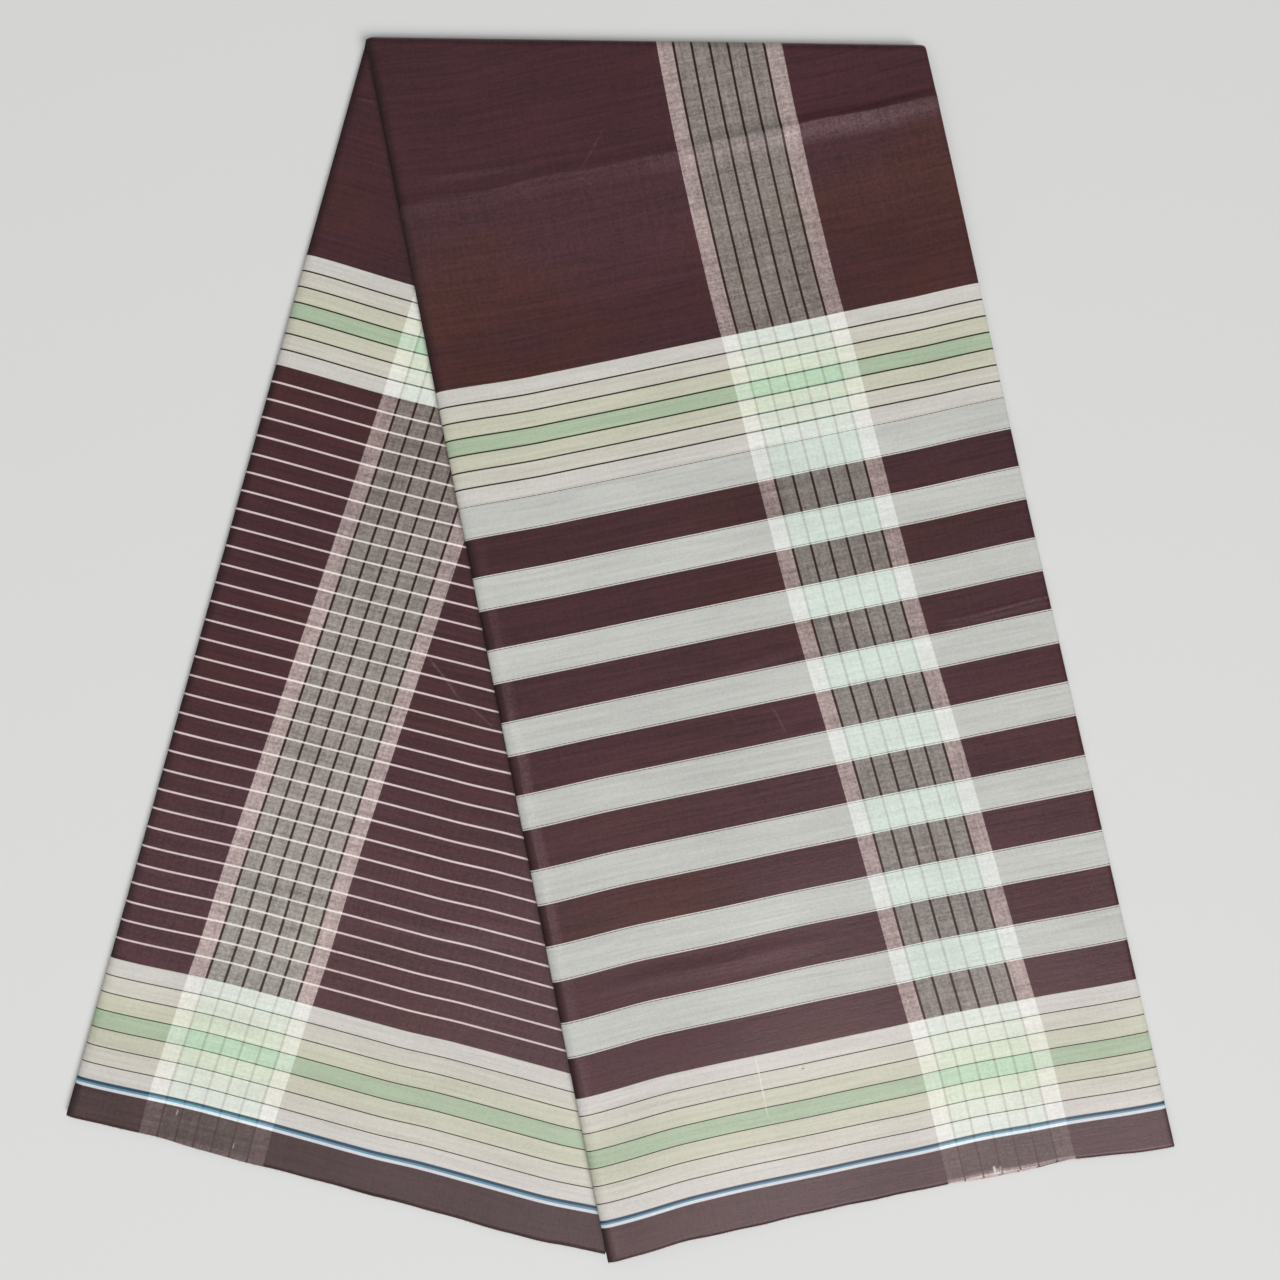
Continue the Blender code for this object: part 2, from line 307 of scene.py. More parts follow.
front_leaf.creases = [
    # The press line across the leaf, deep at the open edge, with a painted sheen below it
    Crease((-0.020, 0.5372), (0.165, 0.5345), 0.0005, (0.010, 0.007), 0.02, 0.08, 0.03),
    Crease((0.035, 0.5364), (0.165, 0.5345), 0.0, (0.0024, 0.001), 0.03, 0.16, 0.0),
    Crease((0.120, 0.5348), (0.325, 0.5354), 0.0015, (0.012, 0.006), 0.08, 0.80, 0.07),
    Crease((0.243, 0.5332), (0.310, 0.5351), 0.0003, (0.0008, 0.0014), 0.02, 0.0, 0.35),
    Crease((-0.040, 0.5350), (0.345, 0.5350), 0.0, (0.075, 0.001), 0.030, 0.13, 0.0),
    Crease((0.1470, 0.5348), (0.2105, 0.5350), 0.0, (0.001, 0.0070), 0.004, 0.0, 0.24),
    # Small creases beside the press line
    Crease((0.002, 0.5492), (0.076, 0.5445), 0.0, (0.0060, 0.001), 0.024, 0.17, 0.0),
    Crease((0.094, 0.5350), (0.112, 0.5560), 0.0003, (0.0012, 0.0015), 0.008, 0.32, 0.0),
    Crease((0.093, 0.5350), (0.102, 0.5255), 0.0003, (0.0012, 0.0015), 0.004, 0.22, 0.10),
    Crease((0.059, 0.4750), (0.074, 0.5030), 0.0002, (0.0014, 0.0014), 0.010, 0.10, 0.06),
    Crease((0.163, 0.4672), (0.211, 0.4670), 0.0003, (0.0020, 0.0008), 0.006, 0.0, 0.22),
    # The line half way down from the open edge, where the leaf was once doubled
    Crease((0.345, 0.2725), (0.216, 0.2690), 0.0006, (0.0020, 0.0020), 0.02, 0.55, 0.25),
    Crease((0.160, 0.2708), (0.100, 0.2685), 0.0004, (0.0025, 0.0020), 0.015, 0.15, 0.08),
    # Small creases below it
    Crease((0.1325, 0.2490), (0.1390, 0.2290), 0.0003, (0.0008, 0.0014), 0.005, 0.0, 0.0),
    Crease((0.1390, 0.2290), (0.1325, 0.2490), 0.0003, (0.0014, 0.0008), 0.005, 0.35, 0.0),
    Crease((0.1165, 0.2390), (0.1110, 0.2490), 0.0002, (0.0014, 0.0008), 0.004, 0.18, 0.0),
    Crease((0.1160, 0.2110), (0.1280, 0.1900), 0.0003, (0.0014, 0.0010), 0.006, 0.0, 0.30),
    Crease((0.156, 0.2405), (0.220, 0.2405), 0.0003, (0.0020, 0.0010), 0.010, 0.10, 0.20),
    Crease((0.012, 0.1270), (0.150, 0.1290), 0.0003, (0.0080, 0.0050), 0.05, 0.08, 0.05),
    # A painted sheen beside the closed edge
    Crease((0.0042, 0.060), (0.0045, 0.370), 0.0, (0.0065, 0.0010), 0.120, 0.50, 0.0),
    Crease((0.0020, -0.020), (0.0030, 0.110), 0.0, (0.0065, 0.0010), 0.040, 0.30, 0.0),
]
back_leaf.creases = [
    # A wide painted sheen above the lower border
    Crease((0.350, 0.080), (-0.050, 0.080), 0.0, (0.135, 0.001), 0.030, 0.21, 0.0),
    # Small creases, most of them above that border
    Crease((0.055, 0.1225), (-0.010, 0.1245), 0.0005, (0.0030, 0.0018), 0.012, 0.14, 0.22),
    Crease((0.112, 0.1275), (0.045, 0.1272), 0.0005, (0.0030, 0.0018), 0.010, 0.05, 0.22),
    Crease((0.200, 0.1360), (0.105, 0.1275), 0.0006, (0.0060, 0.0030), 0.030, 0.16, 0.12),
    Crease((0.198, 0.1410), (0.160, 0.1385), 0.0004, (0.0040, 0.0030), 0.015, 0.22, 0.0),
    Crease((0.1370, 0.2465), (0.1145, 0.2640), 0.0005, (0.0016, 0.0010), 0.006, 0.70, 0.10),
    Crease((0.1600, 0.2355), (0.1340, 0.2485), 0.0004, (0.0014, 0.0010), 0.008, 0.40, 0.05),
    Crease((0.1080, 0.1140), (0.1175, 0.0950), 0.0004, (0.0014, 0.0010), 0.005, 0.0, 0.35),
    Crease((0.1165, 0.0990), (0.1185, 0.0880), 0.0003, (0.0014, 0.0010), 0.004, 0.0, 0.25),
    Crease((0.1830, 0.1200), (0.1950, 0.0980), 0.0003, (0.0020, 0.0014), 0.006, 0.0, 0.15),
    Crease((0.090, 0.3180), (0.020, 0.3050), 0.0003, (0.0060, 0.0040), 0.030, 0.06, 0.03),
    # Where the leaf was pinched, near the corner of the top fold
    Crease((0.003, 0.5368), (0.020, 0.5386), 0.0003, (0.0012, 0.0024), 0.006, 0.30, 0.15),
]


def half_turn(upper, lower, reach, steps):
    """How far out a fold from one layer to another goes, and its height."""
    turns = np.linspace(0, math.pi, steps + 1)
    middle = (layer_height(upper) + layer_height(lower)) / 2
    half = (layer_height(upper) - layer_height(lower)) / 2
    return reach * np.sin(turns), middle + half * np.cos(turns)


def closed_turn(nest, upper, lower, steps=TURN_STEPS):
    """The pressed fold at the closed edge; nest counts inwards."""
    out, height = half_turn(upper, lower, CLOSED_TAPER - nest * FOLD_STAGGER, steps)
    return CLOSED_TAPER - out, height


def open_turn(nest, upper, lower, steps=TURN_STEPS):
    """The same at the open edge."""
    out, height = half_turn(upper, lower, OPEN_TAPER - nest * FOLD_STAGGER, steps)
    return STRIP_WIDTH - OPEN_TAPER + out, height


def run_across(layer, start, end, spacing):
    """A layer between its folds, without its two ends."""
    count = max(2, round(abs(end - start) / spacing))
    across = np.linspace(start, end, count + 1)[1:-1]
    return across, np.full(len(across), layer_height(layer))


# Where each layer lies in the girth: its whole strips of cloth, and which way it runs
STRIPS = {1: 0, 2: 6, 3: 4, 4: 2, 5: 2, 6: 4, 7: -2, 8: 0}
WAY = {1: 1, 2: -1, 3: 1, 4: -1, 5: 1, 6: -1, 7: 1, 8: -1}
# How far each layer's hem falls short of the top one's, or passes it, and its share of the
# stretch where the lower layers stick out
HEM_SHIFT = {1: 0.0, 2: -0.0005, 3: 0.0001, 4: -0.0008, 5: 0.0002, 6: -0.0003, 7: -0.0001, 8: 0.0}
LOBE_SHARE = {1: 0.0, 2: 0.1, 3: 0.3, 4: 0.5, 5: 1.0, 6: 0.9, 7: 0.7, 8: 0.8}
# How far from the two edges, where the layers join, the hems draw level
STAGGER_FADE = 0.060


class Section:
    """A path round some of the strip's layers: each point's across, height and layer."""

    def __init__(self):
        self.across, self.height, self.layer = [], [], []

    def add(self, points, upper, lower=None, turned=False):
        """Adds points. A turn's first half belongs to its upper layer and the rest to the lower."""
        across, height = points
        lower = lower or upper
        layers = [upper if k < len(across) / 2 else lower for k in range(len(across))]
        step = -1 if turned else 1
        self.across += list(across[::step])
        self.height += list(height[::step])
        self.layer += layers[::step]

    def finish(self):
        self.across, self.height = np.array(self.across), np.array(self.height)
        shift = np.array([HEM_SHIFT[n] for n in self.layer])
        inside = smooth(self.across / STAGGER_FADE)
        inside = inside * smooth((STRIP_WIDTH - self.across) / STAGGER_FADE)
        self.hem_shift = shift * inside
        self.lobe_share = np.array([LOBE_SHARE[n] for n in self.layer]) * inside
        strips = np.array([STRIPS[n] for n in self.layer])
        way = np.array([WAY[n] for n in self.layer])
        self.girth = strips * STRIP_WIDTH + way * self.across
        return self


LIP = 0.016
closed_side = CLOSED_TAPER
open_side = STRIP_WIDTH - OPEN_TAPER


def outer_section(face_spacing, underside_spacing, face_layer):
    """Layer 4's lip, layer 1, the closed edge, layer 8 and layer 7's lip."""
    spacing = {face_layer: face_spacing}
    section = Section()
    section.add(run_across(4, STRIP_WIDTH - LIP, open_side, LIP / 4), 4)
    section.add(open_turn(0, 1, 4), 1, 4, turned=True)
    section.add(run_across(1, open_side, closed_side, spacing.get(1, underside_spacing)), 1)
    section.add(closed_turn(0, 1, 8, steps=10), 1, 8)
    section.add(run_across(8, closed_side, open_side, spacing.get(8, underside_spacing)), 8)
    section.add(open_turn(0, 7, 8), 7, 8, turned=True)
    section.add(run_across(7, open_side, STRIP_WIDTH - LIP, LIP / 4), 7)
    return section.finish()


def place_on_roll(across, height, turn):
    """Points of the strip where it turns over the top fold; turn goes from 0 to pi."""
    radius = height + LEAF_GAP / 2
    drift = FOLD_RADIUS * math.tan(FOLD_SLANT) * (1 - 2 * turn / math.pi)
    level = (across / math.cos(FOLD_SLANT) + drift)[:, None] * fold_along
    flat = CORNER + level + (FOLD_RADIUS - radius * math.sin(turn))[:, None] * fold_down
    return np.column_stack([flat, FOLD_RADIUS + radius * math.cos(turn)])


# Where the lower layers stick out along each hem: the stretch's middle and half width, and how far
LOBES = {front_leaf: (0.205, 0.050, 0.0015), back_leaf: (0.085, 0.060, 0.0010)}


def leaf_rows(leaf, section, spacing, clearance=0.0):
    """Rows of points from the hem to the top fold, and each one's distance from the hem."""
    start = leaf.start(section.across, clearance)
    lobe_middle, lobe_width, lobe_reach = LOBES[leaf]
    lobe = lobe_reach * bump(section.across - lobe_middle, lobe_width) * section.lobe_share
    hem = leaf.hem(section.across) + section.hem_shift + lobe
    count = round(leaf.length / spacing)
    shares = np.linspace(0, 1, count + 1)[:, None]
    along = hem + (start - hem) * shares
    across = np.broadcast_to(section.across, along.shape)
    height = np.broadcast_to(section.height, along.shape)
    weft = leaf.length - along
    points = leaf.place(across, along, height)
    girth = section.girth - leaf.band(weft) + leaf.spread(across, weft)
    yarns = np.stack([girth, weft - leaf.bow(across, weft), across, weft], axis=-1)
    return points, yarns


def roll_rows(section):
    """The rows that turn over the top fold and land on the back leaf."""
    turns = [math.pi * step / ROLL_STEPS for step in range(1, ROLL_STEPS + 1)]
    points = [place_on_roll(section.across, section.height, turn) for turn in turns]
    landing = back_leaf.start(section.across, LANDING)
    points.append(back_leaf.place(section.across, landing, section.height))
    weft = np.linspace(0, 1, len(points) + 1)[1:, None] * (math.pi / 2 * LEAF_THICKNESS)
    start_weft = FRONT_LENGTH - front_leaf.start(section.across)
    girth = section.girth - front_leaf.band(start_weft)
    yarns = []
    for turned in weft:
        place = start_weft + turned
        yarns.append(np.column_stack([girth, place, section.across, place]))
    return np.array(points), np.array(yarns)


def cloth_piece(name, points, yarns, material):
    """A thin sheet of cloth through a grid of points. One UV map is its girth and weft, with the
    band's and the stripes' wander taken off, and the other its across and weft in the leaf."""
    rows, columns = points.shape[:2]
    index = np.arange(rows * columns).reshape(rows, columns)
    corners = [index[:-1, :-1], index[:-1, 1:], index[1:, 1:], index[1:, :-1]]
    faces = np.stack(corners, axis=-1).reshape(-1, 4)[:, ::-1]
    mesh = bpy.data.meshes.new(name)
    mesh.from_pydata(points.reshape(-1, 3), [], faces.tolist())
    corner_yarns = yarns.reshape(-1, 4)[faces.reshape(-1)]
    for map_name, pair in (("weave", corner_yarns[:, :2]), ("leaf", corner_yarns[:, 2:])):
        mesh.uv_layers.new(name=map_name).data.foreach_set("uv", pair.reshape(-1))
    mesh.materials.append(material)
    mesh.shade_smooth()
    piece = bpy.data.objects.new(name, mesh)
    bpy.context.scene.collection.objects.link(piece)
    wall = piece.modifiers.new("wall", "SOLIDIFY")
    wall.thickness = CLOTH_THICKNESS
    wall.offset = 0.0
    return piece


class Value:
    """A shader socket; an expression on it adds the Math nodes."""

    def __init__(self, shader, socket):
        self.shader = shader
        self.socket = socket

    def math(self, operation, *values, clamp=False):
        settings = {"operation": operation, "use_clamp": clamp}
        return self.shader.node("ShaderNodeMath", settings, dict(enumerate(values)))

    def __add__(self, other):
        return self.math("ADD", self, other)

    def __sub__(self, other):
        return self.math("SUBTRACT", self, other)

    def __rsub__(self, other):
        return self.math("SUBTRACT", other, self)

    def __mul__(self, other):
        return self.math("MULTIPLY", self, other)

    def __truediv__(self, other):
        return self.math("DIVIDE", self, other)

    def __mod__(self, other):
        return self.math("FLOORED_MODULO", self, other)

    def __abs__(self):
        return self.math_alone("ABSOLUTE")

    __radd__ = __add__
    __rmul__ = __mul__

    def math_alone(self, operation):
        return self.math(operation, self)

    def wave(self, pitch):
        """A sine of this pitch."""
        return (self * (2 * math.pi / pitch)).math_alone("SINE")

    def past(self, edge, softness):
        """0 below the edge and 1 above it."""
        return self.math("MULTIPLY_ADD", self, 1 / softness, 0.5 - edge / softness, clamp=True)

    def between(self, low, high, softness):
        return self.past(low, softness) - self.past(high, softness)


# A height at which flat noise doesn't fall on its own lattice, where it is weak
OFF_LATTICE = 0.37


class Shader:
    """A material on one Principled BSDF."""

    def __init__(self, name):
        self.material = bpy.data.materials.new(name)
        self.material.use_nodes = True
        self.tree = self.material.node_tree
        self.surface = self.tree.nodes["Principled BSDF"]

    def node(self, kind, settings, sockets, output=0):
        """A node of any kind; sockets maps a socket's name or number to a value or a link."""
        made = self.tree.nodes.new(kind)
        for name, value in settings.items():
            if name == "stops":
                self.set_stops(made.color_ramp, value)
            else:
                setattr(made, name, value)
        for name, value in sockets.items():
            self.put(made.inputs[name], value)
        return Value(self, made.outputs[output])

    def set_stops(self, ramp, stops):
        ramp.interpolation = "CONSTANT"
        for position, colour in stops[1:]:
            ramp.elements.new(position).color = (*colour, 1.0)
        ramp.elements[0].color = (*stops[0][1], 1.0)
        ramp.elements.remove(ramp.elements[-1])

    def put(self, socket, value):
        if isinstance(value, Value):
            self.tree.links.new(value.socket, socket)
        elif isinstance(value, tuple) and len(value) < len(socket.default_value):
            socket.default_value = (*value, 1.0)
        else:
            socket.default_value = value

    def mix(self, share, first, second):
        """A blend of two colours."""
        return self.node("ShaderNodeMix", {"data_type": "RGBA"}, {0: share, 6: first, 7: second}, 2)

    def noise(self, girth, weft, girth_size, weft_size, detail=2.0):
        """Noise with grains of this size round the tube and down it."""
        place = {0: girth / girth_size, 1: weft / weft_size, 2: OFF_LATTICE}
        place = self.node("ShaderNodeCombineXYZ", {}, place)
        sockets = {"Vector": place, "Scale": 1.0, "Detail": detail}
        return self.node("ShaderNodeTexNoise", {}, sockets)

    def vector_math(self, operation, sockets, output=0):
        return self.node("ShaderNodeVectorMath", {"operation": operation}, sockets, output)

    def scale(self, colour, share):
        """This share of a colour."""
        return self.vector_math("SCALE", {0: colour, "Scale": share})

    def set(self, **uniform):
        """Numbers that are the same all over."""
        for name, value in uniform.items():
            self.surface.inputs[name.replace("_", " ").title()].default_value = value


# Yarn colours, in linear light
PLUM_WARP = (0.0500, 0.0130, 0.0180)
RUST_WARP = (0.0615, 0.0155, 0.0065)
FRONT_HEM_WARP = (0.060, 0.031, 0.031)
BACK_HEM_WARP = (0.051, 0.029, 0.028)
BAR_WARP = (0.690, 0.715, 0.665)
ROSE_WARP = (0.795, 0.775, 0.720)
LINE_WARP = (0.880, 0.722, 0.722)
BEIGE_WARP = (0.780, 0.760, 0.660)
CREAM_WARP = (0.730, 0.740, 0.580)
GREEN_WARP = (0.510, 0.655, 0.455)
WHITE_WARP = (0.820, 0.870, 0.910)
SKY_WARP = (0.105, 0.355, 0.490)
NAVY_WARP = (0.000, 0.062, 0.110)
HAIR_WARP = (0.010, 0.018, 0.002)
BROWN_WEFT = (0.048, 0.014, 0.018)
BRIGHT_WEFT = (1.000, 1.000, 0.940)
DARK_WEFT = (0.016, 0.003, 0.000)
DARK_WEFT_ON_PALE = (0.070, 0.150, 0.110)
# The pale wefts look greener between pale warp yarns than between dark ones
ROSE_WEFT = (0.940, 0.785, 0.735)
ROSE_WEFT_ON_PALE = (0.860, 0.900, 0.870)
SAGE_WEFT = (0.560, 0.570, 0.500)
WARM_SAGE_WEFT = (0.578, 0.556, 0.490)
SAGE_WEFT_ON_PALE = (0.480, 0.760, 0.620)

# The painted sheen that a crease's bright flank adds
PAINTED_SHEEN = (0.066, 0.048, 0.052)

# The pitch of the yarns, and how softly a single one ends
YARN = 0.00035
YARN_EDGE = 0.00012

# The crossing band: rose edges, sage cells between them, and a dark yarn, thin as a hair, at each
# cell's side. It is wider on dark warp and narrower in the hem. The sage starts above the edge.
BAND_REPEAT = 0.2734
BAND_WIDTH = 0.0636
BAND_EDGE = 0.0085
BAND_CELL = 0.0092
BAND_HAIR = 0.00060
WIDER_ON_DARK = 0.00012
NARROWER_IN_HEM = 0.00030
SAGE_START = 0.0011
SAGE_FADE = 0.0006
WARM_FADE = 0.06

# The two borders: seven cells, whose colours change from the middle one outwards, and the dark
# yarns that part them, which are wider in the upper border
CELL = 0.00857
CELLS = 7
CELL_COLOURS = [(0.0, GREEN_WARP), (0.17, CREAM_WARP), (0.5, BEIGE_WARP), (0.83, ROSE_WARP)]
CELL_HAIR = 0.00025
WIDER_ABOVE = 0.00016

# Brown yarn is dyed from plum to rust, in fine streaks and in broad ones: the size of each along
# the warp and across it, its share, and the sum at which plum turns to rust
FINE_DYE = (0.050, 0.012)
FINE_DYE_SHARE = 0.5
BROAD_DYE = (0.110, 0.060)
BROAD_DYE_SHARE = 0.9
RUST_FROM = 0.82
RUST_FADE = 0.35

# What else makes the cloth uneven, by its size along the yarn and across it: grain, streaks of the
# warp, slubs of the weft, clouds of paler and deeper dye, and the crinkle of the surface
GRAIN = (0.0014, 0.0012)
STREAK = (0.040, 0.0015)
SLUB = (0.022, 0.0014)
CLOUD = (0.06, 0.05)
CRINKLE = (0.006, 0.004)
FINE_DETAIL = 3.0

# How much of the weft shows between the warp yarns: anywhere, more on dark warp, more there for
# every metre from the leaf's middle, in the hem, and more at its very edge and in its loops
WEFT_SHOWS = 0.24
MORE_ON_DARK = 0.06
MORE_A_METRE = 0.24
LEAF_MIDDLE = 0.33
SHOWS_IN_HEM = 0.06
SHOWS_AT_EDGE = 0.14
SHOWS_IN_LOOPS = 0.3
EDGE_YARNS = 0.0008
LOOPS_END = -0.0003
OVER_AND_UNDER = 0.16

# Painted shade along the rim of the closed edge, where the cloth turns away from the light
RIM = 0.0028
RIM_FADE = 0.0050

RELIEF = {"Strength": 0.6, "Distance": 0.00012}
SHEEN_TINT = (1.0, 0.80, 0.83, 1.0)
PALE_YARN_FADE = 0.0010


class Cotton(Shader):
    """Plain-woven cotton: warp yarns run round the tube, and weft yarns from hem to hem."""

    def __init__(self, name, patches):
        super().__init__(name)
        weave = self.node("ShaderNodeUVMap", {"uv_map": "weave"}, {})
        self.girth = self.node("ShaderNodeSeparateXYZ", {}, {0: weave}, 0)
        self.weft = self.node("ShaderNodeSeparateXYZ", {}, {0: weave}, 1)
        leaf = self.node("ShaderNodeUVMap", {"uv_map": "leaf"}, {})
        self.across = self.node("ShaderNodeSeparateXYZ", {}, {0: leaf}, 0)
        self.leaf_weft = self.node("ShaderNodeSeparateXYZ", {}, {0: leaf}, 1)
        # Painted sheen and painted shade, summed over the creases; each leaf adds more painted shade
        self.painted_sheen = 0.0
        self.painted_shade = 0.0
        dye = self.noise(self.girth, self.weft, *FINE_DYE, FINE_DETAIL) * FINE_DYE_SHARE
        dye = dye + self.noise(self.girth, self.weft, *BROAD_DYE) * BROAD_DYE_SHARE
        for across, weft, reach, rust in patches:
            dye = dye + self.patch(across, weft, reach) * rust
        self.warp_colour = self.mix(dye.past(RUST_FROM, RUST_FADE), PLUM_WARP, RUST_WARP)

    def patch(self, across, weft, reach):
        """1 at a spot of the leaf, fading to 0 at its reach, a little sooner up and down."""
        off = {0: self.across - across, 1: (self.leaf_weft - weft) * 1.3}
        off = self.node("ShaderNodeCombineXYZ", {}, off)
        distance = self.vector_math("LENGTH", {0: off}, output=1)
        return 1 - distance.past(reach / 2, reach)

    def lay_warp(self, mask, colour):
        self.warp_colour = self.mix(mask, self.warp_colour, colour)

    def pale_yarn(self, across, lower, upper, width, share):
        """A loose or thick pale yarn that lies down the cloth."""
        lies = self.across.between(across - width / 2, across + width / 2, width / 2)
        lies = lies * self.leaf_weft.between(lower, upper, PALE_YARN_FADE)
        self.lay_warp(lies * share, BRIGHT_WEFT)

    def press(self, crease):
        """The painted sheen on one flank and the painted shade on the other."""
        run_across, run_weft = crease.run()
        out_across, out_weft = self.across - crease.across, self.leaf_weft - crease.weft
        along_crease = out_across * run_across + out_weft * run_weft
        beside = out_weft * run_across - out_across * run_weft
        beside = beside + (along_crease * CREASE_WAVES).math_alone("SINE") * CREASE_WANDER
        half = crease.fade / 2
        ends = along_crease.between(half, crease.size - half, crease.fade)
        beyond = beside.past(0, CREASE_EDGE)
        if crease.bright:
            flank = crease.bright_flank
            bright = beside.past(-0.75 * flank, 0.5 * flank) - beyond
            self.painted_sheen = bright * ends * crease.bright + self.painted_sheen
        if crease.painted_dark:
            flank = crease.dull_flank
            painted_dark = beyond - beside.past(0.6 * flank, 0.8 * flank)
            self.painted_shade = painted_dark * ends * crease.painted_dark + self.painted_shade

    def lay_cells(self, lower, upper):
        """The two borders of seven pale cells, parted by dark yarns."""
        shift = self.weft.math("GREATER_THAN", self.weft, (lower + upper) / 2) * (upper - lower)
        cells = (self.weft - shift - lower) / CELL
        inside = cells.between(0, CELLS, YARN / CELL)
        middle = CELLS // 2
        ring = abs(cells.math_alone("FLOOR") - middle) / middle
        colours = self.node("ShaderNodeValToRGB", {"stops": CELL_COLOURS}, {0: ring})
        self.lay_warp(inside, colours)
        off_line = abs((cells + 0.5) % 1 - 0.5) * CELL
        wider = self.weft.past((lower + upper) / 2, 0.01) * WIDER_ABOVE
        hair = 1 - (off_line - wider).past(CELL_HAIR, YARN_EDGE)
        self.lay_warp(hair * cells.between(0.5, CELLS - 0.5, 0.1), HAIR_WARP)
        return inside

    def lay_hem(self, hem_colour, lines):
        """The brown hem and the white, sky and navy lines above it."""
        for start, end, colour in zip(lines, lines[1:], (WHITE_WARP, SKY_WARP, NAVY_WARP)):
            self.lay_warp(self.weft.between(start, end, YARN), colour)
        self.in_hem = 1 - self.weft.past(lines[0], YARN)
        self.lay_warp(self.in_hem, hem_colour)
        self.in_lines = self.weft.between(lines[0], lines[-1], YARN)

    def on_warp(self, pale, dark):
        """One number where the warp is pale, and another where it is brown."""
        return pale + self.dark_share * (dark - pale)

    def weft_colour(self, warm_from):
        """Brown weft, with a pale band parted by dark yarns; its sage is warmer above warm_from."""
        place = self.girth % BAND_REPEAT
        rose = self.mix(self.dark_share, ROSE_WEFT_ON_PALE, ROSE_WEFT)
        sage = self.mix(self.weft.past(warm_from, WARM_FADE), SAGE_WEFT, WARM_SAGE_WEFT)
        sage = self.mix(self.dark_share, SAGE_WEFT_ON_PALE, sage)
        self.in_band = place.between(0, BAND_WIDTH, YARN)
        colour = self.mix(self.in_band, BROWN_WEFT, rose)
        inner = place.between(BAND_EDGE, BAND_WIDTH - BAND_EDGE, YARN)
        self.in_rose = self.in_band - inner
        colour = self.mix(inner * self.weft.past(SAGE_START, SAGE_FADE), colour, sage)
        half = BAND_CELL / 2
        off_line = abs((place - BAND_EDGE + half) % BAND_CELL - half)
        wider = self.dark_share * WIDER_ON_DARK - self.in_hem * NARROWER_IN_HEM
        hair = 1 - (off_line - wider).past(BAND_HAIR, YARN)
        reach = BAND_HAIR * 2
        self.in_hair = hair * place.between(BAND_EDGE - reach, BAND_WIDTH - BAND_EDGE + reach, YARN)
        dark = self.mix(self.dark_share, DARK_WEFT_ON_PALE, DARK_WEFT)
        return self.mix(self.in_hair * (1 - self.in_hem * 0.12), colour, dark)

    def spin(self):
        """The yarns' own unevenness, each kind of it about zero."""
        self.over = (self.girth.wave(YARN) * self.weft.wave(YARN)) * OVER_AND_UNDER
        self.grain = self.noise(self.girth, self.weft, *GRAIN) - 0.5
        self.streak = self.noise(self.girth, self.weft, *STREAK) - 0.5
        self.slub = self.noise(self.weft, self.girth, *SLUB) - 0.5
        self.cloud = self.noise(self.girth, self.weft, *CLOUD) - 0.5

    def uneven(self, grain, streak, slub):
        """The yarns' unevenness, with this share of each kind."""
        return self.grain * grain + self.streak * streak + self.slub * slub

    def weft_share(self, extra_weft, pale_ends):
        """How much of the weft shows, from place to place."""
        away = abs(self.weft - LEAF_MIDDLE) * MORE_A_METRE
        extra = extra_weft * (1 - self.in_rose * 0.5)
        show = WEFT_SHOWS + self.dark_share * (away + MORE_ON_DARK + extra)
        show = show + self.in_hair * self.on_warp(pale=0.03, dark=0.59)
        show = show * (1 - self.in_lines * self.in_band * 0.55)
        show = show * (1 - self.in_hem) + self.in_hem * SHOWS_IN_HEM
        edge = 1 - self.weft.past(EDGE_YARNS, 0.0010)
        loops = 1 - self.weft.past(LOOPS_END, 0.0002)
        show = show + (edge * SHOWS_AT_EDGE + loops * SHOWS_IN_LOOPS) * pale_ends
        plain = self.on_warp(pale=0.35, dark=1.0) * (1 - self.in_hem * 0.7)
        plain = plain * (1 - self.in_hair * 0.7) * (1 - self.in_band * 0.5)
        show = show + self.over * (1 - self.in_hem * 0.6)
        return show + self.uneven(grain=0.28, streak=0.12, slub=0.24) * plain

    def shade(self, rim):
        """How light the cloth is, about 1: deeper dyed or thinner, with painted shade and light."""
        streaks = 1.25 - self.in_band * 0.35
        uneven = self.uneven(grain=1.1, streak=streaks, slub=0.45)
        uneven = uneven * self.on_warp(pale=0.32, dark=0.90)
        uneven = uneven + self.cloud * self.on_warp(pale=0.22, dark=0.40)
        # Painted light: pale warp is a little lighter towards the top fold
        uneven = uneven + (self.weft - 0.2) * (1 - self.dark_share) * 0.12
        # Painted shade from the creases and from each leaf's darker stretches
        in_painted_shade = self.painted_shade * (1 - self.in_band * 0.5)
        # Painted shade at the closed edge's rim, deeper on brown warp
        rim_shade = rim * self.on_warp(pale=0.08, dark=0.70)
        return (1 + uneven) * (1 - in_painted_shade) * (1 - rim_shade)

    def finish(self, creases, dark_share, extra_weft, pale_ends, warm_from):
        """Weaves the yarns together; dark_share is 1 where the warp is brown, and pale_ends says
        how far the weft shows along the hem."""
        for crease in creases:
            self.press(crease)
        self.dark_share = dark_share
        self.spin()
        weft_colour = self.weft_colour(warm_from)
        colour = self.mix(self.weft_share(extra_weft, pale_ends), self.warp_colour, weft_colour)
        rim = 1 - self.across.past(RIM, RIM_FADE)
        colour = self.scale(colour, self.shade(rim))
        # Painted sheen from the creases' bright flanks, added to the colour
        shine = self.scale(PAINTED_SHEEN, self.painted_sheen * (1 + self.grain * 2 + self.slub))
        colour = self.vector_math("ADD", {0: colour, 1: shine})
        self.put(self.surface.inputs["Base Color"], colour)
        height = self.over * 0.6 + self.uneven(grain=0.8, streak=1.0, slub=0.8)
        height = height + self.noise(self.girth, self.weft, *CRINKLE, FINE_DETAIL)
        normal = self.node("ShaderNodeBump", {}, {**RELIEF, "Height": height})
        self.put(self.surface.inputs["Normal"], normal)
        roughness = 0.40 + self.uneven(grain=0.10, streak=0.20, slub=0.0) + rim * 0.5
        self.put(self.surface.inputs["Roughness"], roughness)
        self.set(metallic=0.0, specular_tint=SHEEN_TINT)
        return self.material


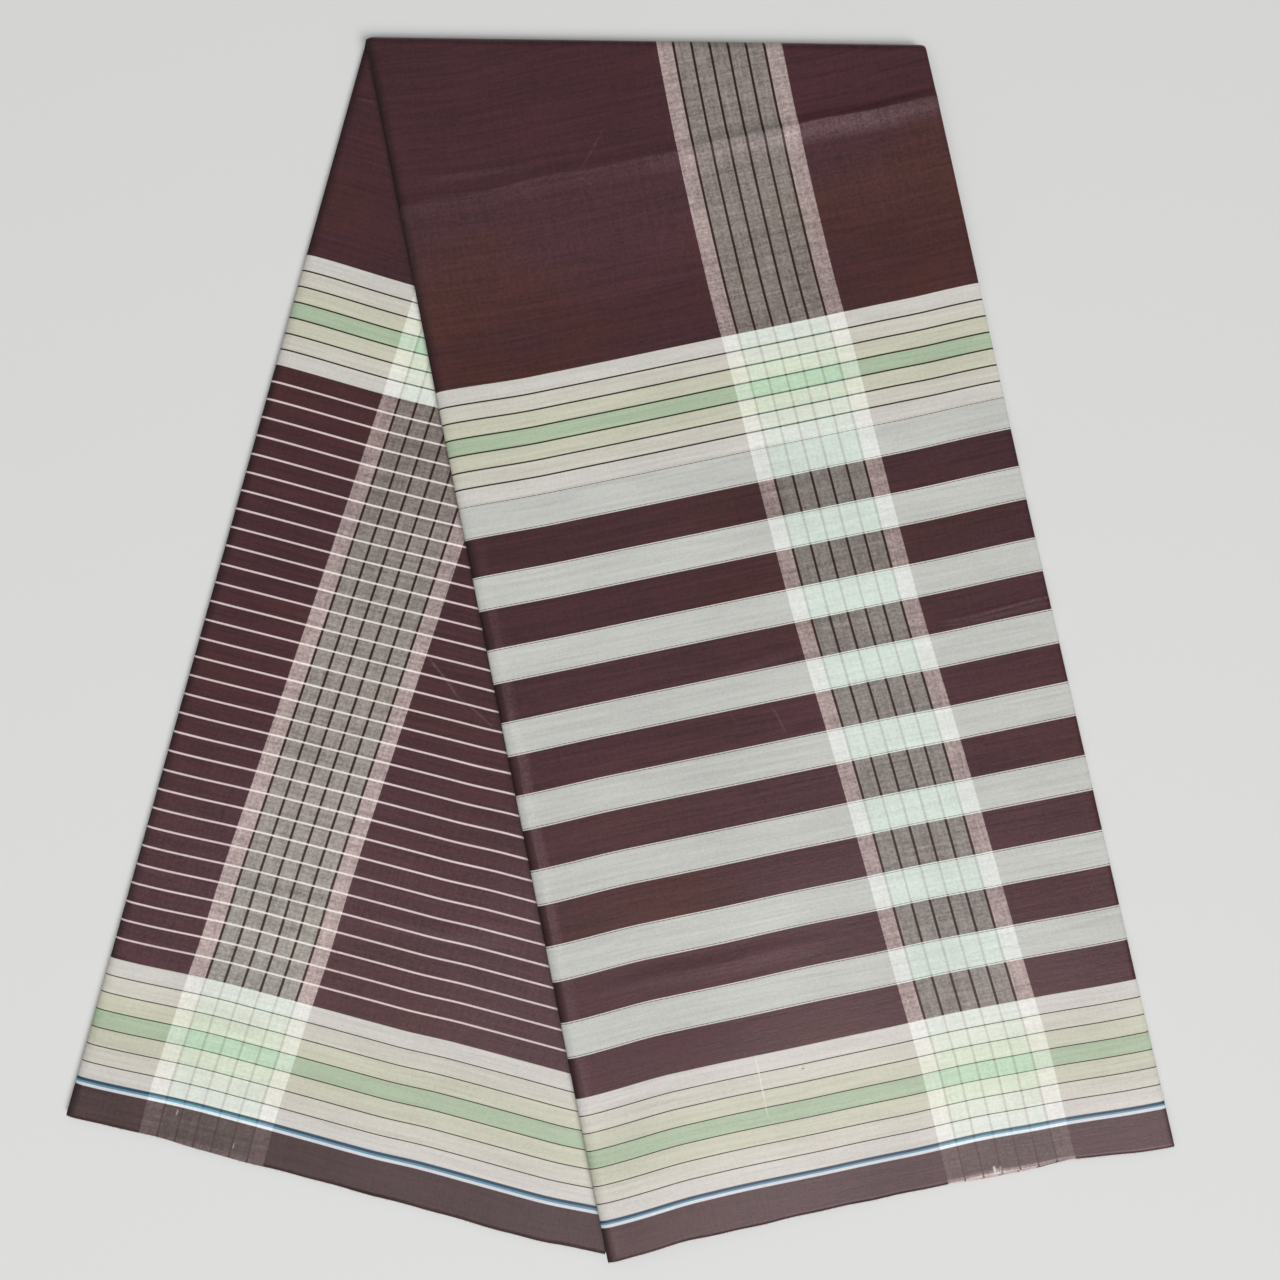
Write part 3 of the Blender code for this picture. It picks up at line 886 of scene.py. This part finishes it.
BAR_REPEAT = 0.0371
BROWN_BAR = 0.0197
BARS_START = 0.0792
BARS_END = 0.3760
BAR_EDGE = 0.0007
BAR_THREAD = 0.00020
DASH_PITCH = 0.0027
DASH_GAP = 0.0007
FRONT_BORDER = 0.0192
# Where the white, the sky and the navy line start above the hem, and where the navy one ends
FRONT_HEM_LINES = (0.0161, 0.0177, 0.0185, 0.0198)

# Patches of dye: where they lie across and up the leaf, how far they reach, and how much more rust
# or less there is in them
FRONT_PATCHES = [
    (0.040, 0.478, 0.095, 0.35),
    (0.262, 0.482, 0.085, 0.35),
    (0.085, 0.592, 0.170, -0.30),
]

# Pale yarns: where they lie across the leaf and up it, from and to, their width and their share.
# The first two are a thick pick in the lower border, and the others a tuft at the hem.
FRONT_PALE_YARNS = [
    (0.09085, 0.0500, 0.0785, 0.0007, 0.35),
    (0.09085, 0.0600, 0.0785, 0.0007, 0.45),
    (0.1943, 0.0006, 0.0042, 0.0011, 0.50),
    (0.1957, 0.0002, 0.0028, 0.0009, 0.25),
    (0.1973, 0.0002, 0.0036, 0.0011, 0.28),
    (0.1990, 0.0002, 0.0022, 0.0009, 0.15),
]

# A nep, a dark knot in the yarn: its ends across and up the leaf
NEP_ACROSS = (0.1120, 0.1132)
NEP_WEFT = (0.0686, 0.0694)
NEP_FADE = 0.0004


def front_cotton():
    """Eight brown and grey-white bars between the two borders."""
    cotton = Cotton("front_cotton", FRONT_PATCHES)
    in_bars = cotton.weft.between(BARS_START, BARS_END, YARN)
    into = (cotton.weft - BARS_START) % BAR_REPEAT
    bar = into.past(BROWN_BAR, YARN) * in_bars
    cotton.lay_warp(bar, BAR_WARP)
    face = into.between(BROWN_BAR + BAR_EDGE, BAR_REPEAT - BAR_EDGE, YARN)
    edges = (1 - face) * bar
    cotton.lay_warp(edges, ROSE_WARP)
    middle = (BROWN_BAR + BAR_REPEAT) / 2
    off_edge = abs(abs(into - middle) - (BAR_REPEAT - BROWN_BAR) / 2 + BAR_EDGE)
    dashes = (cotton.girth % DASH_PITCH).past(DASH_GAP, YARN) * 0.3 + 0.5
    thread = (1 - off_edge.past(BAR_THREAD, YARN_EDGE)) * bar * dashes
    cotton.lay_warp(thread, PLUM_WARP)
    borders = cotton.lay_cells(FRONT_BORDER, BARS_END)
    nep = cotton.across.between(*NEP_ACROSS, NEP_FADE)
    nep = nep * cotton.leaf_weft.between(*NEP_WEFT, NEP_FADE)
    cotton.lay_warp(nep * 0.6, HAIR_WARP)
    cotton.lay_hem(FRONT_HEM_WARP, FRONT_HEM_LINES)
    for yarn in FRONT_PALE_YARNS:
        cotton.pale_yarn(*yarn)
    dark = 1 - (bar + borders + cotton.in_lines)
    # Painted shade: brown darker across the middle of the leaf, and all darker under the top fold
    cotton.painted_shade = cotton.weft.between(0.285, 0.420, 0.080) * dark * 0.16
    cotton.painted_shade = cotton.painted_shade + cotton.weft.past(0.580, 0.050) * 0.07
    return cotton.finish(front_leaf.creases, dark, extra_weft=0.0, pale_ends=1.0, warm_from=0.41)


front_section = outer_section(FINE_COLUMN, COARSE_COLUMN, face_layer=1)
front_points, front_yarns = leaf_rows(front_leaf, front_section, FRONT_ROW)
roll_points, roll_yarns = roll_rows(front_section)
front_material = front_cotton()
front_piece = cloth_piece(
    "front_leaf",
    np.concatenate([front_points, roll_points]),
    np.concatenate([front_yarns, roll_yarns]),
    front_material,
)
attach(front_piece, "root")
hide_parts("front_leaf_cloth")


# ---- The back leaf -----------------------------------------------------------------------
# The same cloth from the top fold down to the back hem, the other selvedge. Its inner face is
# the one that shows, with thin pale lines in place of the bars. It carries on from the front
# leaf's piece without a seam.

BACK_ROW = 0.0020
LINE_REPEAT = 0.00969
LINES_START = 0.0803
LINES = 31
LINE_WIDTH = 0.0010
BACK_BORDER = 0.0195
UPPER_BORDER = 0.3898
BACK_HEM_LINES = (0.0162, 0.0178, 0.0188, 0.0202)
BACK_PATCHES = [(0.250, 0.330, 0.140, 0.35)]
# Two loose ends in the hem
BACK_PALE_YARNS = [(0.0542, 0.0126, 0.0150, 0.0005, 0.30), (0.0857, 0.0040, 0.0064, 0.0005, 0.30)]


def back_cotton():
    """Thin rose lines on brown between the two borders."""
    cotton = Cotton("back_cotton", BACK_PATCHES)
    half = LINE_REPEAT / 2
    off_line = abs((cotton.weft - LINES_START + half) % LINE_REPEAT - half)
    first = LINES_START + half
    in_lines = cotton.weft.between(first, first + LINES * LINE_REPEAT, YARN)
    line = (1 - off_line.past(LINE_WIDTH / 2, YARN)) * in_lines
    cotton.lay_warp(line, LINE_WARP)
    borders = cotton.lay_cells(BACK_BORDER, UPPER_BORDER)
    cotton.lay_hem(BACK_HEM_WARP, BACK_HEM_LINES)
    for yarn in BACK_PALE_YARNS:
        cotton.pale_yarn(*yarn)
    dark = 1 - (line + borders + cotton.in_lines)
    # Painted shade darkens the upper half a little, and more of the weft shows in the lower one
    cotton.painted_shade = cotton.weft.past(0.270, 0.080) * dark * 0.06
    extra_weft = (1 - cotton.weft.past(0.322, 0.090)) * 0.125
    return cotton.finish(back_leaf.creases, dark, extra_weft, pale_ends=0.1, warm_from=0.14)


back_section = outer_section(FINE_COLUMN, COARSE_COLUMN, face_layer=8)
back_points, back_yarns = leaf_rows(back_leaf, back_section, BACK_ROW, clearance=LANDING)
back_material = back_cotton()
back_piece = cloth_piece("back_leaf", back_points[::-1], back_yarns[::-1], back_material)
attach(back_piece, "root")
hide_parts("back_leaf_cloth")


# ---- The folds inside --------------------------------------------------------------------
# The other six layers of the tube, which run on from the lips of the outer ones: in and out of
# the closed and the open edge. They show as a stack at the hems and at the open edges.

INNER_COLUMN = 0.0070
FRONT_INNER_ROW = 0.0060
BACK_INNER_ROW = 0.0090


def inner_section(spacing):
    """From layer 4's lip round layers 4, 5, 6, 3, 2 and 7 to layer 7's lip."""
    lip_end = STRIP_WIDTH - LIP
    section = Section()
    section.add(run_across(4, lip_end, closed_side, spacing), 4)
    section.add(closed_turn(3, 4, 5), 4, 5)
    section.add(run_across(5, closed_side, open_side, spacing), 5)
    section.add(open_turn(0, 5, 6), 5, 6)
    section.add(run_across(6, open_side, closed_side, spacing), 6)
    section.add(closed_turn(2, 3, 6), 3, 6, turned=True)
    section.add(run_across(3, closed_side, open_side, spacing), 3)
    section.add(open_turn(2, 2, 3), 2, 3, turned=True)
    section.add(run_across(2, open_side, closed_side, spacing), 2)
    section.add(closed_turn(1, 2, 7), 2, 7)
    section.add(run_across(7, closed_side, lip_end, spacing), 7)
    return section.finish()


inner = inner_section(INNER_COLUMN)
inner_front, inner_front_yarns = leaf_rows(front_leaf, inner, FRONT_INNER_ROW)
inner_roll, inner_roll_yarns = roll_rows(inner)
front_folds = cloth_piece(
    "front_inner_folds",
    np.concatenate([inner_front, inner_roll]),
    np.concatenate([inner_front_yarns, inner_roll_yarns]),
    front_material,
)
inner_back, inner_back_yarns = leaf_rows(back_leaf, inner, BACK_INNER_ROW, clearance=LANDING)
back_folds = cloth_piece(
    "back_inner_folds",
    inner_back[::-1],
    inner_back_yarns[::-1],
    back_material,
)
for folds in (front_folds, back_folds):
    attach(folds, "root")
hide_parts("hidden_layers")


# ---- The loops along the hems ------------------------------------------------------------
# Every pick of weft turns back at the selvedge, and some stand out there as small loops and loose
# ends. They are the leaves' own yarn, one row along each layer that shows.

LOOP_PITCH = 0.0008
LOOP_LENGTH = 0.0009
LOOP_THICKNESS = 0.00022
# Where the loops lie in the weave: just past the edge
LOOP_WEFT = -0.0006
# Each is a cone, cut to some share of the length and leaning by up to this much sideways and up
LOOP_SIDES = 5
LOOP_TIP = 0.00003
LOOP_LEAST = 0.25
LEAN_FROM = (-0.6, -0.6, -0.05)
LEAN_TO = (0.6, 0.6, 0.25)
LEAN_SEED = 3
LENGTH_SEED = 5


class ThreadTree:
    """A Geometry Nodes tree that sets a thread at every step along an edge."""

    def __init__(self, name, material):
        self.tree = bpy.data.node_groups.new(name, "GeometryNodeTree")
        self.tree.is_modifier = True
        self.inputs = {}
        self.socket("Geometry", "INPUT", "Geometry")
        self.socket("Geometry", "OUTPUT", "Geometry")
        for label in ("Pitch", "Length", "Thickness"):
            self.inputs[label] = self.socket(label, "INPUT", "Float")
        self.inputs["Outwards"] = self.socket("Outwards", "INPUT", "Vector")
        given = self.add("NodeGroupInput", {}, {})
        edge = self.add("GeometryNodeMeshToCurve", {}, {"Mesh": given.outputs["Geometry"]})
        steps = {"Curve": edge.outputs[0], "Length": given.outputs["Pitch"]}
        steps = self.add("GeometryNodeResampleCurve", {"mode": "LENGTH"}, steps)
        sizes = {
            "Vertices": LOOP_SIDES,
            "Radius Top": LOOP_TIP,
            "Radius Bottom": given.outputs["Thickness"],
            "Depth": given.outputs["Length"],
        }
        thread = self.add("GeometryNodeMeshCone", {}, sizes)
        lean = {"Min": LEAN_FROM, "Max": LEAN_TO, "Seed": LEAN_SEED}
        lean = self.add("FunctionNodeRandomValue", {"data_type": "FLOAT_VECTOR"}, lean)
        way = {0: given.outputs["Outwards"], 1: lean.outputs[0]}
        way = self.add("ShaderNodeVectorMath", {"operation": "ADD"}, way)
        way = {"Vector": way.outputs[0]}
        turn = self.add("FunctionNodeAlignRotationToVector", {"axis": "Z"}, way)
        size = {2: LOOP_LEAST, 3: 1.0, "Seed": LENGTH_SEED}
        size = self.add("FunctionNodeRandomValue", {"data_type": "FLOAT"}, size)
        threads = {
            "Points": steps.outputs[0],
            "Instance": thread.outputs["Mesh"],
            "Rotation": turn.outputs[0],
            "Scale": size.outputs[1],
        }
        threads = self.add("GeometryNodeInstanceOnPoints", {}, threads)
        whole = self.add("GeometryNodeRealizeInstances", {}, {0: threads.outputs[0]})
        cloth = {"Geometry": whole.outputs[0], "Material": material}
        cloth = self.add("GeometryNodeSetMaterial", {}, cloth)
        self.add("NodeGroupOutput", {}, {0: cloth.outputs[0]})

    def socket(self, label, in_out, kind):
        """A named socket of the whole tree, and how the modifier knows it."""
        sockets = self.tree.interface
        return sockets.new_socket(label, in_out=in_out, socket_type="NodeSocket" + kind).identifier

    def add(self, kind, settings, sockets):
        made = self.tree.nodes.new(kind)
        for name, value in settings.items():
            setattr(made, name, value)
        for name, value in sockets.items():
            if isinstance(value, bpy.types.NodeSocket):
                self.tree.links.new(value, made.inputs[name])
            else:
                made.inputs[name].default_value = value
        return made


def hem_loops(name, leaf, section, hem, layers, material):
    """The loops along the hem of these layers, as one piece."""
    layer_of = np.array(section.layer)
    edge_points, edges = [], []
    for layer in layers:
        chosen = np.flatnonzero(layer_of == layer)
        first = len(edge_points)
        edge_points += [tuple(hem[k]) for k in chosen]
        edges += [(first + k, first + k + 1) for k in range(len(chosen) - 1)]
    edge_mesh = bpy.data.meshes.new(name + "_edge")
    edge_mesh.from_pydata(edge_points, edges, [])
    edge = bpy.data.objects.new(name + "_edge", edge_mesh)
    bpy.context.scene.collection.objects.link(edge)
    threads = ThreadTree(name, material)
    modifier = edge.modifiers.new("threads", "NODES")
    modifier.node_group = threads.tree
    modifier[threads.inputs["Pitch"]] = LOOP_PITCH
    modifier[threads.inputs["Length"]] = LOOP_LENGTH
    modifier[threads.inputs["Thickness"]] = LOOP_THICKNESS / 2
    modifier[threads.inputs["Outwards"]] = (*leaf.down, 0.0)
    grown = edge.evaluated_get(bpy.context.evaluated_depsgraph_get())
    mesh = bpy.data.meshes.new_from_object(grown)
    bpy.data.objects.remove(edge)
    mesh.name = name
    piece = bpy.data.objects.new(name, mesh)
    bpy.context.scene.collection.objects.link(piece)
    return piece


def lay_yarns(piece, leaf, way):
    """The loops' place in the weave, from where they stand."""
    mesh = piece.data
    corners = np.empty(len(mesh.loops), dtype=int)
    mesh.loops.foreach_get("vertex_index", corners)
    flat = np.array([v.co[:2] for v in mesh.vertices])[corners] - CORNER
    across = flat @ leaf.across
    weft = np.full(len(across), LOOP_WEFT)
    girth = way * across - leaf.band(0.0) + leaf.spread(across, 0.0)
    for map_name, pair in (("weave", (girth, weft)), ("leaf", (across, weft))):
        layer = mesh.uv_layers.get(map_name) or mesh.uv_layers.new(name=map_name)
        layer.data.foreach_set("uv", np.column_stack(pair).reshape(-1))


front_loops = hem_loops(
    "front_hem_loops", front_leaf, front_section, front_points[0], [1], front_material
)
back_loops = hem_loops("back_hem_loops", back_leaf, back_section, back_points[0], [8], back_material)
front_under = hem_loops(
    "front_inner_loops", front_leaf, inner, inner_front[0], [5, 6], front_material
)
lay_yarns(front_loops, front_leaf, way=1)
lay_yarns(back_loops, back_leaf, way=-1)
lay_yarns(front_under, front_leaf, way=1)
loop_slots = {front_loops: "front_cotton", front_under: "inner_cotton", back_loops: "back_cotton"}
for loops, cloth in loop_slots.items():
    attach(loops, "root")


# ---- The room ----------------------------------------------------------------------------
# A pale floor, and broad daylight as from a window, with two soft lamps: one over the whole and
# one low down at the hems, for the sheen. The camera is almost straight above.

FLOOR_SIDE = 12.0
bpy.ops.mesh.primitive_plane_add(size=FLOOR_SIDE, location=(0, 0, 0))
floor = bpy.context.object
floor.name = "floor"
paint = Shader("floor_paint")
paint.set(base_color=(0.72, 0.72, 0.71, 1.0), roughness=0.9, metallic=0.0)
floor.data.materials.append(paint.material)

scene = bpy.context.scene
scene.view_settings.view_transform = "Standard"
world = bpy.data.worlds.new("studio")
world.use_nodes = True
world.node_tree.nodes["Background"].inputs["Color"].default_value = (0.97, 0.98, 1.0, 1.0)
world.node_tree.nodes["Background"].inputs["Strength"].default_value = 0.14
scene.world = world


def soft_lamp(name, size, place, aim, energy):
    """A rectangular lamp, aimed at a point."""
    lamp_data = bpy.data.lights.new(name, "AREA")
    lamp_data.shape = "RECTANGLE"
    lamp_data.size, lamp_data.size_y = size
    lamp_data.energy = energy
    hang(lamp_data, place, aim)


def hang(lamp_data, place, aim):
    """Sets a lamp in its place, out of the camera's sight."""
    lamp = bpy.data.objects.new(lamp_data.name, lamp_data)
    lamp.location = place
    lamp.rotation_euler = (Vector(aim) - Vector(place)).to_track_quat("-Z", "Y").to_euler()
    lamp.visible_camera = False
    scene.collection.objects.link(lamp)


window = bpy.data.lights.new("window", "SUN")
window.angle = math.radians(30)
window.energy = 1.90
hang(window, place=(0.9, -1.2, 1.3), aim=(0, 0, 0))
soft_lamp("ceiling", size=(5.0, 5.0), place=(0, 0, 2.2), aim=(0, 0, 0), energy=31)
soft_lamp("sheen", size=(2.0, 0.5), place=(0.12, -0.90, 1.5), aim=(0.05, -0.2, 0), energy=8.5)

VIEW_DISTANCE = 0.6516
VIEW_PITCH = math.radians(3.70)
VIEW_YAW = math.radians(1.07)
VIEW_AIM = Vector((0.0122, -0.0056, 0.0))
SENSOR = 36.0

forward = Vector((
    -math.cos(VIEW_PITCH) * math.sin(VIEW_YAW),
    math.sin(VIEW_PITCH),
    -math.cos(VIEW_PITCH) * math.cos(VIEW_YAW),
))
right = Vector((math.cos(VIEW_YAW), 0.0, -math.sin(VIEW_YAW)))
view = bpy.data.cameras.new("view")
view.sensor_width = SENSOR
view.lens = SENSOR
view.clip_start = 0.01
camera = bpy.data.objects.new("view", view)
up = right.cross(forward)
turn = np.array([right, up, -forward]).T
camera.matrix_world = Matrix.LocRotScale(VIEW_AIM - VIEW_DISTANCE * forward, Matrix(turn), None)
scene.collection.objects.link(camera)
scene.camera = camera
